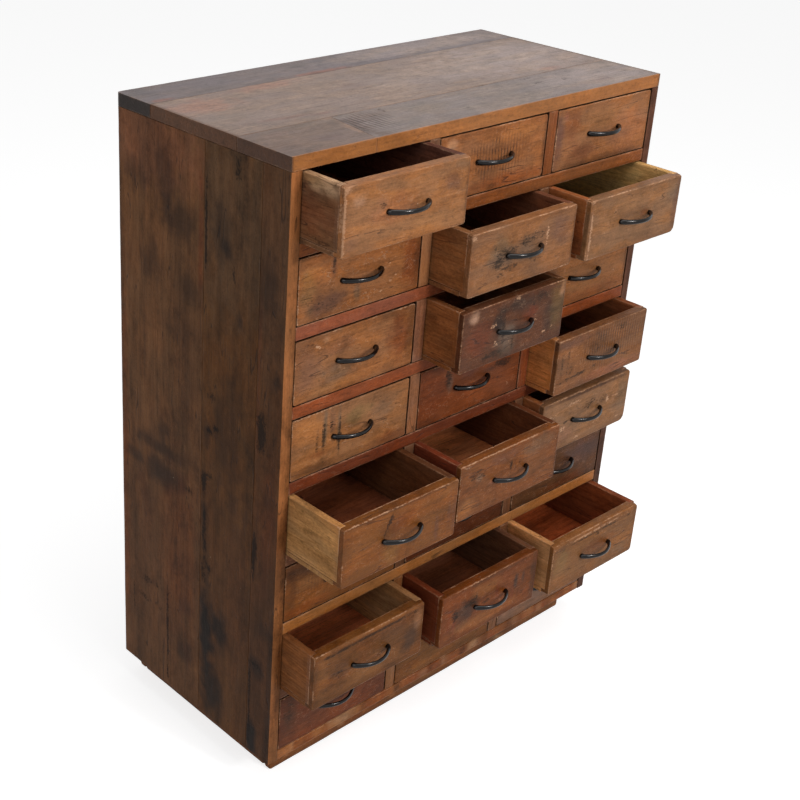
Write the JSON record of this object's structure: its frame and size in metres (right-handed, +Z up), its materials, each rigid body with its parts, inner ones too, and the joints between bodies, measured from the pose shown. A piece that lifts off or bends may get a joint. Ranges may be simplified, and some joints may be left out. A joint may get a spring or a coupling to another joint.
{
  "type": "chest of drawers",
  "caption": "Tall reclaimed-wood chest of small drawers in rows between uprights, on a recessed plinth, each drawer with an iron bow pull",
  "frame": {"origin": "on the floor under the middle of the chest, on the underside of the plinth's centre bearer", "axes": "+Z up, the drawers open towards -Y, +X to the right of someone facing the front"},
  "size_m": [0.95, 0.624, 1.24],
  "materials": {
    "top_wood": "satin",
    "dark_wood": "satin",
    "side_wood": "satin",
    "rail_wood": "satin",
    "upright_wood": "satin",
    "inner_wood": "matte",
    "plinth_wood": "satin",
    "drawer_wood": "satin",
    "black_iron": "satin black"
  },
  "bodies": {
    "carcass": {"top_rear_plank": "dark_wood", "top_planks": "top_wood", "side_left": "side_wood", "side_right": "side_wood", "back_boards": "inner_wood", "bottom_board": "rail_wood", "front_rails": "rail_wood", "dust_boards": "inner_wood", "partitions": "upright_wood", "plinth": "plinth_wood", "plinth_blocks": "inner_wood", "plinth_bearer": "inner_wood"},
    "body_L1": {"drawer_L1": "drawer_wood", "pull_L1": "black_iron"},
    "body_L2": {"drawer_L2": "drawer_wood", "pull_L2": "black_iron"},
    "body_L3": {"drawer_L3": "drawer_wood", "pull_L3": "black_iron"},
    "body_L4": {"drawer_L4": "drawer_wood", "pull_L4": "black_iron"},
    "body_L5": {"drawer_L5": "drawer_wood", "pull_L5": "black_iron"},
    "body_L6": {"drawer_L6": "drawer_wood", "pull_L6": "black_iron"},
    "body_L7": {"drawer_L7": "drawer_wood", "pull_L7": "black_iron"},
    "body_L8": {"drawer_L8": "drawer_wood", "pull_L8": "black_iron"},
    "body_M1": {"drawer_M1": "drawer_wood", "pull_M1": "black_iron"},
    "body_M2": {"drawer_M2": "drawer_wood", "pull_M2": "black_iron"},
    "body_M3": {"drawer_M3": "drawer_wood", "pull_M3": "black_iron"},
    "body_M4": {"drawer_M4": "drawer_wood", "pull_M4": "black_iron"},
    "body_M5": {"drawer_M5": "drawer_wood", "pull_M5": "black_iron"},
    "body_M6": {"drawer_M6": "drawer_wood", "pull_M6": "black_iron"},
    "body_M7": {"drawer_M7": "drawer_wood", "pull_M7": "black_iron"},
    "body_M8": {"drawer_M8": "drawer_wood", "pull_M8": "black_iron"},
    "body_R1": {"drawer_R1": "drawer_wood", "pull_R1": "black_iron"},
    "body_R2": {"drawer_R2": "drawer_wood", "pull_R2": "black_iron"},
    "body_R3": {"drawer_R3": "drawer_wood", "pull_R3": "black_iron"},
    "body_R4": {"drawer_R4": "drawer_wood", "pull_R4": "black_iron"},
    "body_R5": {"drawer_R5": "drawer_wood", "pull_R5": "black_iron"},
    "body_R6": {"drawer_R6": "drawer_wood", "pull_R6": "black_iron"},
    "body_R7": {"drawer_R7": "drawer_wood", "pull_R7": "black_iron"},
    "body_R8": {"drawer_R8": "drawer_wood", "pull_R8": "black_iron"}
  },
  "joints": [
    {"name": "slide_L1", "type": "slide", "parent": "carcass", "child": "body_L1", "axis": [0, -1, 0], "range_m": [-0.093, 0.227]},
    {"name": "slide_L2", "type": "slide", "parent": "carcass", "child": "body_L2", "axis": [0, -1, 0], "range_m": [0, 0.32]},
    {"name": "slide_L3", "type": "slide", "parent": "carcass", "child": "body_L3", "axis": [0, -1, 0], "range_m": [0, 0.32]},
    {"name": "slide_L4", "type": "slide", "parent": "carcass", "child": "body_L4", "axis": [0, -1, 0], "range_m": [0, 0.32]},
    {"name": "slide_L5", "type": "slide", "parent": "carcass", "child": "body_L5", "axis": [0, -1, 0], "range_m": [-0.137, 0.183]},
    {"name": "slide_L6", "type": "slide", "parent": "carcass", "child": "body_L6", "axis": [0, -1, 0], "range_m": [0, 0.32]},
    {"name": "slide_L7", "type": "slide", "parent": "carcass", "child": "body_L7", "axis": [0, -1, 0], "range_m": [-0.085, 0.235]},
    {"name": "slide_L8", "type": "slide", "parent": "carcass", "child": "body_L8", "axis": [0, -1, 0], "range_m": [0, 0.32]},
    {"name": "slide_M1", "type": "slide", "parent": "carcass", "child": "body_M1", "axis": [0, -1, 0], "range_m": [0, 0.32]},
    {"name": "slide_M2", "type": "slide", "parent": "carcass", "child": "body_M2", "axis": [0, -1, 0], "range_m": [-0.088, 0.232]},
    {"name": "slide_M3", "type": "slide", "parent": "carcass", "child": "body_M3", "axis": [0, -1, 0], "range_m": [-0.086, 0.234]},
    {"name": "slide_M4", "type": "slide", "parent": "carcass", "child": "body_M4", "axis": [0, -1, 0], "range_m": [0, 0.32]},
    {"name": "slide_M5", "type": "slide", "parent": "carcass", "child": "body_M5", "axis": [0, -1, 0], "range_m": [-0.115, 0.205]},
    {"name": "slide_M6", "type": "slide", "parent": "carcass", "child": "body_M6", "axis": [0, -1, 0], "range_m": [0, 0.32]},
    {"name": "slide_M7", "type": "slide", "parent": "carcass", "child": "body_M7", "axis": [0, -1, 0], "range_m": [-0.104, 0.216]},
    {"name": "slide_M8", "type": "slide", "parent": "carcass", "child": "body_M8", "axis": [0, -1, 0], "range_m": [0, 0.32]},
    {"name": "slide_R1", "type": "slide", "parent": "carcass", "child": "body_R1", "axis": [0, -1, 0], "range_m": [0, 0.32]},
    {"name": "slide_R2", "type": "slide", "parent": "carcass", "child": "body_R2", "axis": [0, -1, 0], "range_m": [-0.097, 0.223]},
    {"name": "slide_R3", "type": "slide", "parent": "carcass", "child": "body_R3", "axis": [0, -1, 0], "range_m": [0, 0.32]},
    {"name": "slide_R4", "type": "slide", "parent": "carcass", "child": "body_R4", "axis": [0, -1, 0], "range_m": [-0.068, 0.252]},
    {"name": "slide_R5", "type": "slide", "parent": "carcass", "child": "body_R5", "axis": [0, -1, 0], "range_m": [-0.051, 0.269]},
    {"name": "slide_R6", "type": "slide", "parent": "carcass", "child": "body_R6", "axis": [0, -1, 0], "range_m": [0, 0.32]},
    {"name": "slide_R7", "type": "slide", "parent": "carcass", "child": "body_R7", "axis": [0, -1, 0], "range_m": [-0.12, 0.2]},
    {"name": "slide_R8", "type": "slide", "parent": "carcass", "child": "body_R8", "axis": [0, -1, 0], "range_m": [0, 0.32]}
  ]
}
